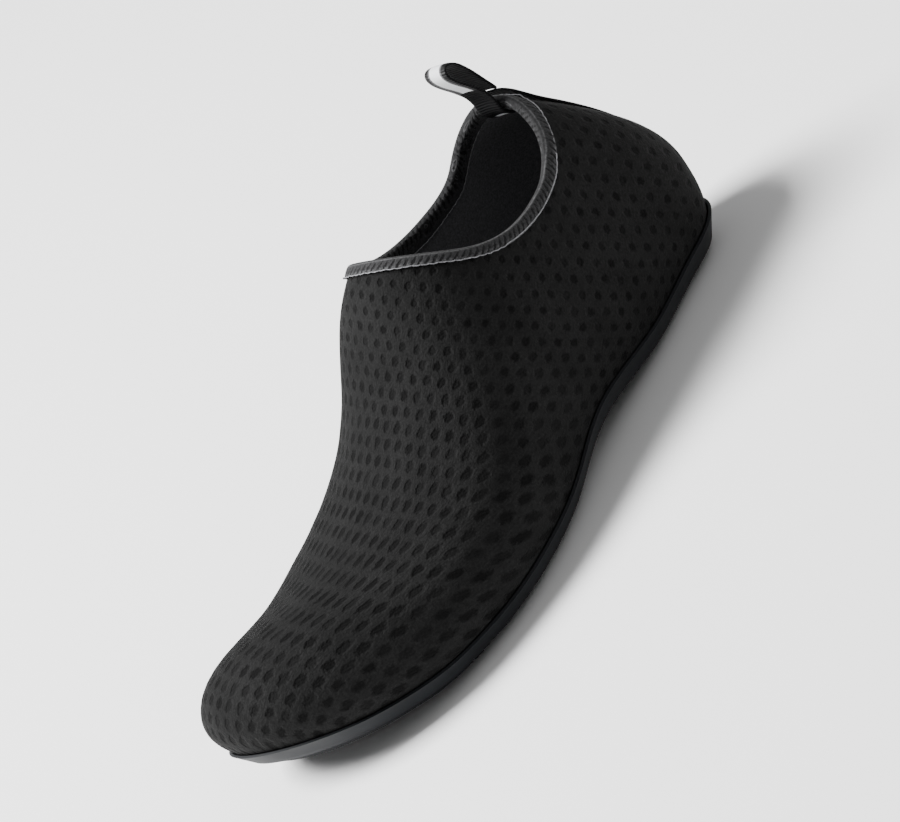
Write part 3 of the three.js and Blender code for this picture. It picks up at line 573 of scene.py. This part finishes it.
# The rim of the plain heel crescent has short notches at this pitch, out to this far each side.
NOTCH_PITCH, NOTCHES_TO = 2.4, 19.2
outsole = welded_copy("outsole", "rubber_outsole")
form = bmesh.new()
form.from_mesh(outsole.data)
bmesh.ops.join_triangles(form, faces=form.faces, angle_face_threshold=0.35, angle_shape_threshold=1.6)
form.normal_update()
crease = form.edges.layers.float.new("crease_edge")
for edge in form.edges:
    edge[crease] = 0 if edge.calc_face_angle(0) < math.radians(22) else 1
form.to_mesh(outsole.data)
form.free()
smoothed(outsole, 2)
under = surface_of(outsole)


def sole_at(x, y):
    """The lowest point of the sole at a place in mm, or None beside the sole."""
    return under.ray_cast(Vector((x, y, -20)) * MM, Vector((0, 0, 1)))[0]


grooves = bpy.data.curves.new("tread_grooves", "CURVE")
grooves.dimensions = "3D"
grooves.bevel_depth = GROOVE_RADIUS * MM
grooves.bevel_resolution = 0
grooves.use_fill_caps = True


def groove(points, cyclic, radius=1.0):
    spline = grooves.splines.new("POLY")
    spline.points.add(len(points) - 1)
    for point, (x, y) in zip(spline.points, points):
        spot = sole_at(x, y)
        point.co = (*(Vector((x, y, 0)) * MM if spot is None else spot), 1)
        point.radius = radius
    spline.use_cyclic_u = cyclic


for at, aside_share, long, broad, figure in PADS:
    x, y = at * LENGTH - BACK, aside_share * HALF_BALL
    for share in RINGS[figure]:
        angles = np.linspace(0, 2 * math.pi, 33)[:-1]
        groove([(x + long * share * math.cos(a), y + broad * share * math.sin(a)) for a in angles], True)
    if figure == "star":
        angles = np.arange(10) * math.pi / 5
        reaches = [STAR_NOTCH if k % 2 else STAR_POINT for k in range(10)]
        star = [(x + long * r * math.cos(a), y + broad * r * math.sin(a)) for a, r in zip(angles, reaches)]
        groove(star, True, 0.8)
for k in range(FINGERS):
    across = -34 + k * FINGER_PITCH
    tip = 186 - abs(k - 3) * 2.5
    foot = 172 - k * 1.8
    arc = [(foot, across - 2.2), ((foot + tip) / 2, across - 2.4)]
    bends = np.linspace(0, math.pi, 7)
    arc += [(tip - 3 + 3 * math.sin(a), across - FINGER_HALF * math.cos(a)) for a in bends]
    arc += [((foot + tip) / 2, across + 2.4), (foot, across + 2.2)]
    groove(arc, False, 0.8)
    if k % 2:
        angles = np.linspace(0, 2 * math.pi, 13)[:-1]
        groove([(foot - 4 + 1.5 * math.cos(a), across + 4 + 1.5 * math.sin(a)) for a in angles], True, 0.7)
for y in np.arange(-NOTCHES_TO, NOTCHES_TO + 0.1, NOTCH_PITCH):
    edge_x = next(x for x in np.arange(-46, -20, 0.5) if sole_at(x, y))
    groove([(edge_x + 3.5, y), (edge_x + 6, y)], False, 0.8)
cutter_curve = bpy.data.objects.new("tread_grooves_curve", grooves)
scene.collection.objects.link(cutter_curve)
bpy.context.view_layer.update()
graph = bpy.context.evaluated_depsgraph_get()
cutter_mesh = bpy.data.meshes.new_from_object(cutter_curve.evaluated_get(graph))
bpy.data.objects.remove(cutter_curve)
weld = bmesh.new()
weld.from_mesh(cutter_mesh)
bmesh.ops.remove_doubles(weld, verts=weld.verts, dist=0.005 * MM)
bmesh.ops.recalc_face_normals(weld, faces=weld.faces)
weld.to_mesh(cutter_mesh)
weld.free()
cutter = bpy.data.objects.new("tread_cutter", cutter_mesh)
scene.collection.objects.link(cutter)
carve = outsole.modifiers.new("carve", "BOOLEAN")
carve.operation = "DIFFERENCE"
carve.object = cutter
carve.solver = "MANIFOLD"
bpy.context.view_layer.update()
carved = bpy.data.meshes.new_from_object(outsole.evaluated_get(bpy.context.evaluated_depsgraph_get()))
outsole.modifiers.clear()
outsole.data = carved
bpy.data.objects.remove(cutter)
outsole.data.shade_smooth()
outsole.data.set_sharp_from_angle(angle=math.radians(19))

# Injection-moulded rubber: it gives the eye a satin blue-black skin with an uneven low gloss. Its pores
# are drawn about 0.5 mm apart, coarser than the real ones.
rubber, tree, shader = new_material("moulded_rubber")
place = add_node(tree, "ShaderNodeTexCoord")
mottle = add_node(tree, "ShaderNodeTexNoise", {"Vector": place.outputs["Object"], "Scale": 60, "Detail": 4})
pores = add_node(tree, "ShaderNodeTexNoise", {"Vector": place.outputs["Object"], "Scale": 1800, "Detail": 2})
tone = add_node(tree, "ShaderNodeMapRange", {0: mottle.outputs[0], 1: 0.3, 2: 0.7, 3: 0.8, 4: 1.2})
colour = add_node(tree, "ShaderNodeVectorMath", {0: linear(RUBBER)[:3], 3: tone.outputs[0]},
                  operation="SCALE")
gloss = add_node(tree, "ShaderNodeMapRange", {0: mottle.outputs[0], 1: 0.3, 2: 0.7, 3: 0.55, 4: 0.7})
bump = add_node(tree, "ShaderNodeBump", {"Height": pores.outputs[0], "Strength": 0.35, "Distance": 0.08 * MM})
tree.links.new(colour.outputs[0], shader.inputs["Base Color"])
tree.links.new(gloss.outputs[0], shader.inputs["Roughness"])
shader.inputs["Specular IOR Level"].default_value = 0.25
tree.links.new(bump.outputs[0], shader.inputs["Normal"])
outsole.data.materials.clear()
outsole.data.materials.append(rubber)
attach(outsole, "root")
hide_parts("outsole")


# Arch pebbles. The inner side of the waist is moulded with low round pebbles instead of lugs, each
# about 1.8 mm across and part of the same rubber.
# The strip's edge towards the lugs, as shares of the length and of half the ball's width.
STRIP_EDGE = [(0.31, -0.56), (0.36, -0.5), (0.5, -0.56), (0.62, -0.78), (0.68, -0.92)]
PEBBLE_RADIUS, PEBBLE_PITCH, STRIP_STEP = 0.9, 2.6, 1.3
dome = bmesh.new()
bmesh.ops.create_icosphere(dome, subdivisions=1, radius=PEBBLE_RADIUS * MM)
bmesh.ops.bisect_plane(dome, geom=dome.verts[:] + dome.edges[:] + dome.faces[:], plane_co=(0, 0, 0.3 * MM),
                       plane_no=(0, 0, 1), clear_outer=True)
bmesh.ops.holes_fill(dome, edges=dome.edges[:])
bmesh.ops.recalc_face_normals(dome, faces=dome.faces[:])
dome_mesh = bpy.data.meshes.new("pebble")
dome.to_mesh(dome_mesh)
dome.free()
strip = bmesh.new()
strip_from, strip_to = (at * LENGTH - BACK for at in (STRIP_EDGE[0][0], STRIP_EDGE[-1][0]))
for row, x in enumerate(np.arange(strip_from, strip_to, PEBBLE_PITCH)):
    inner_y = np.interp((x + BACK) / LENGTH, *zip(*STRIP_EDGE)) * HALF_BALL
    for k in range(1, 12):
        y = inner_y - (k + row % 2 / 2) * PEBBLE_PITCH * 0.87
        # A pebble sits only where the rubber round it is whole and free of steps.
        spots = [sole_at(x + dx, y + dy) for dx, dy in ((0, 0), (0, -1.2), (0, 1.2), (1.2, 0), (-1.2, 0))]
        if None in spots or max(s.z for s in spots) - min(s.z for s in spots) > STRIP_STEP * MM:
            continue
        first = len(strip.verts)
        strip.from_mesh(dome_mesh)
        bmesh.ops.translate(strip, verts=strip.verts[first:], vec=spots[0])
pebbles_mesh = bpy.data.meshes.new("arch_pebbles")
strip.to_mesh(pebbles_mesh)
strip.free()
pebbles_mesh.shade_smooth()
pebbles = bpy.data.objects.new("arch_pebbles", pebbles_mesh)
scene.collection.objects.link(pebbles)
pebbles.data.materials.append(rubber)
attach(pebbles, "root")


# Studio. A pale floor, a large soft light high on the inner front side of the shoe, a weaker fill and
# a camera at the photograph's place: from the outer front quarter, rolled, and far away.
AZIMUTH, ELEVATION, ROLL = math.radians(53.40), math.radians(22.87), math.radians(-40.63)
DISTANCE, FOCAL = 1.597, 5311.7
AIM = Vector((0.079, 0, 0.035))
# The aim lies at this pixel of the frame.
FRAME, AIM_AT, SENSOR = (900, 822), (455.1, 414.4), 36
PAPER = "#fafafa"
sight = -Vector((math.cos(ELEVATION) * math.cos(AZIMUTH), math.cos(ELEVATION) * math.sin(AZIMUTH),
                 math.sin(ELEVATION)))
level = Vector((-math.sin(AZIMUTH), math.cos(AZIMUTH), 0))
upright = level.cross(sight)
right = level * math.cos(ROLL) + upright * math.sin(ROLL)
up = -level * math.sin(ROLL) + upright * math.cos(ROLL)
lens = bpy.data.cameras.new("camera")
lens.lens = FOCAL / FRAME[0] * SENSOR
lens.sensor_width = SENSOR
lens.clip_end = 100
camera = bpy.data.objects.new("camera", lens)
aside, down = (FRAME[k] / 2 - AIM_AT[k] for k in (0, 1))
aim = AIM + right * aside * DISTANCE / FOCAL - up * down * DISTANCE / FOCAL
turn = Matrix((right, up, -sight)).transposed().to_4x4()
camera.matrix_world = Matrix.Translation(aim - sight * DISTANCE) @ turn
scene.collection.objects.link(camera)
scene.camera = camera

plane = bmesh.new()
bmesh.ops.create_grid(plane, x_segments=2, y_segments=2, size=6)
floor_mesh = bpy.data.meshes.new("floor")
plane.to_mesh(floor_mesh)
plane.free()
floor = bpy.data.objects.new("floor", floor_mesh)
scene.collection.objects.link(floor)
# Coated backdrop paper: it gives the eye a plain matte near-white ground.
paper, tree, shader = new_material("studio_paper")
shader.inputs["Base Color"].default_value = linear(PAPER)
shader.inputs["Roughness"].default_value = 0.9
floor.data.materials.append(paper)

world = bpy.data.worlds.new("studio")
world.use_nodes = True
world.node_tree.nodes["Background"].inputs[0].default_value = (1, 1, 1, 1)
world.node_tree.nodes["Background"].inputs[1].default_value = 0.32
scene.world = world
for name, place_m, size, power in (("key", (0.9, -1.0, 1.7), 1.0, 166), ("fill", (-0.9, 1.2, 1.4), 1.6, 5)):
    lamp = bpy.data.lights.new(name, "AREA")
    lamp.size = size
    lamp.energy = power
    light = bpy.data.objects.new(name, lamp)
    light.location = place_m
    light.rotation_euler = (Vector((0.08, 0, 0.03)) - Vector(place_m)).to_track_quat("-Z", "Y").to_euler()
    scene.collection.objects.link(light)
